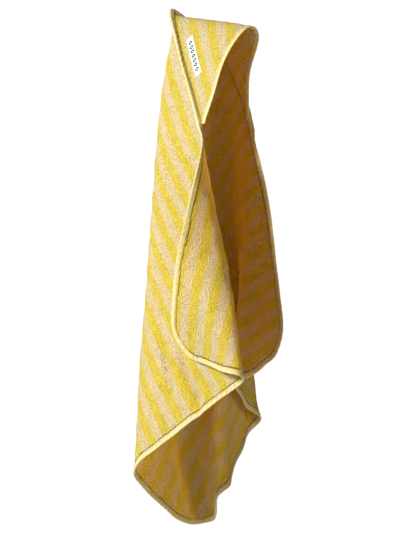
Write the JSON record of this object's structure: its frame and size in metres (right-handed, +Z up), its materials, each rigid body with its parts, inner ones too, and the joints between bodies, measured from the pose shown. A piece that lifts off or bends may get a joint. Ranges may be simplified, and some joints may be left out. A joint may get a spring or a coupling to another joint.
{
  "type": "hooded baby towel",
  "caption": "Square terry towel with a triangular hood over one corner, bias-bound edges and a sewn label, hanging in folds from a peg under the hood's ridge.",
  "frame": {"origin": "where a peg carries the inside of the hood's ridge", "axes": "+Z up along the hang, hem below; the hood's opening and the open front of the towel face -Y and +X"},
  "size_m": [0.292, 0.4219, 1.0563],
  "materials": {
    "terry_body": "looped cotton pile",
    "terry_hood": "looped cotton pile",
    "edge_tape": "plain-woven cotton bias tape",
    "hood_tape": "plain-woven cotton bias tape",
    "edge_cotton": "spun sewing thread",
    "hood_cotton": "spun sewing thread",
    "label_weave": "satin-woven label",
    "label_cotton": "spun sewing thread"
  },
  "bodies": {
    "root": {"body_panel": "terry_body", "hood_panel": "terry_hood", "edge_binding": "edge_tape", "hood_binding": "hood_tape", "edge_thread": "edge_cotton", "hood_thread": "hood_cotton", "woven_label": "label_weave", "label_thread": "label_cotton"}
  },
  "joints": []
}
